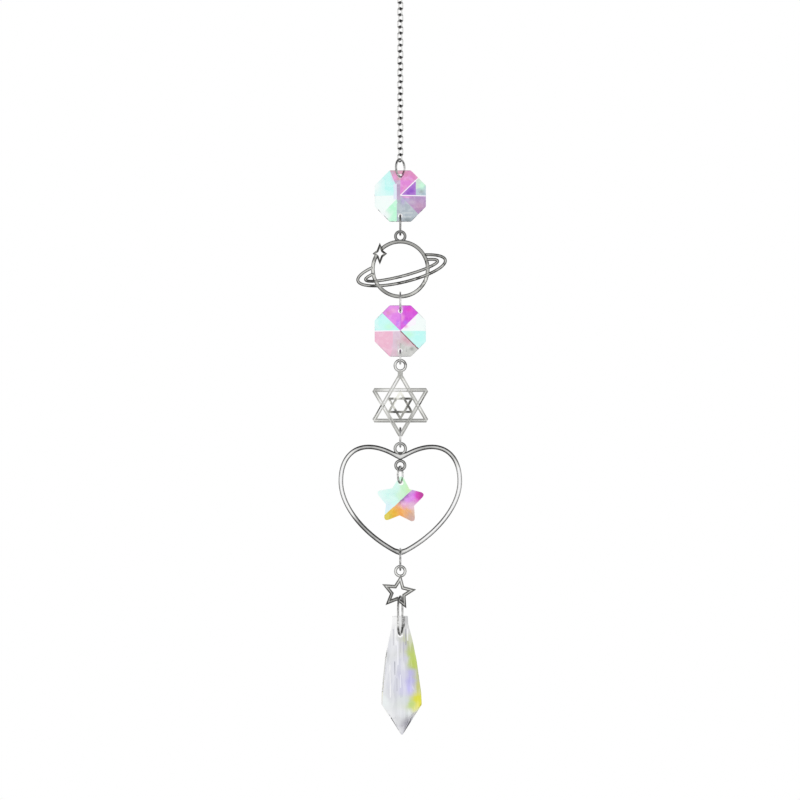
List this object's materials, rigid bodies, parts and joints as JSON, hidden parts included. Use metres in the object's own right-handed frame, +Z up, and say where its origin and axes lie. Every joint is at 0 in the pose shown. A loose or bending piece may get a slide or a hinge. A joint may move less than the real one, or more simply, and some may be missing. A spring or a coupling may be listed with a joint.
{
  "type": "crystal suncatcher",
  "caption": "Hanging suncatcher of faceted crystals and open cast charms on a fine chain, ending in a long crystal drop.",
  "frame": {"origin": "inside top of the hanging ring, where a hook or nail holds the part", "axes": "+Z up along the chain, +X to the right as seen from the front, -Y towards the viewer"},
  "size_m": [0.0386, 0.0094, 0.2594],
  "materials": {
    "bright_steel": "bright plated wire, slightly worn",
    "antique_silver": "cast alloy, silver plated, darkened in its corners",
    "rainbow_crystal": "polished facets with a rainbow coating",
    "clear_crystal": "clear polished facets with a light rainbow coating"
  },
  "bodies": {
    "root": {"chain_link_01": "bright_steel", "chain_link_02": "bright_steel", "chain_link_03": "bright_steel", "chain_link_04": "bright_steel", "chain_link_05": "bright_steel", "chain_link_06": "bright_steel", "chain_link_07": "bright_steel", "chain_link_08": "bright_steel", "chain_link_09": "bright_steel", "chain_link_10": "bright_steel", "chain_link_11": "bright_steel", "chain_link_12": "bright_steel", "chain_link_13": "bright_steel", "chain_link_14": "bright_steel", "chain_link_15": "bright_steel", "chain_link_16": "bright_steel", "chain_link_17": "bright_steel", "chain_link_18": "bright_steel", "chain_link_19": "bright_steel", "chain_link_20": "bright_steel", "chain_link_21": "bright_steel", "chain_link_22": "bright_steel", "chain_link_23": "bright_steel", "chain_link_24": "bright_steel", "chain_link_25": "bright_steel", "chain_link_26": "bright_steel", "chain_link_27": "bright_steel", "chain_link_28": "bright_steel", "chain_link_29": "bright_steel", "chain_link_30": "bright_steel", "chain_link_31": "bright_steel", "chain_link_32": "bright_steel", "chain_link_33": "bright_steel", "chain_link_34": "bright_steel", "hanging_ring": "bright_steel", "heart_frame": "antique_silver", "hexagram_charm": "antique_silver", "icicle_drop": "clear_crystal", "octagon_bead_lower": "rainbow_crystal", "octagon_bead_upper": "rainbow_crystal", "planet_charm": "antique_silver", "ring_bead_hexagram": "bright_steel", "ring_bead_planet": "bright_steel", "ring_chain_bead": "bright_steel", "ring_heart_small_star": "bright_steel", "ring_heart_star": "bright_steel", "ring_hexagram_heart": "bright_steel", "ring_planet_bead": "bright_steel", "ring_small_star_icicle": "bright_steel", "ring_top_chain": "bright_steel", "small_star_charm": "antique_silver", "star_crystal": "rainbow_crystal"}
  },
  "joints": []
}
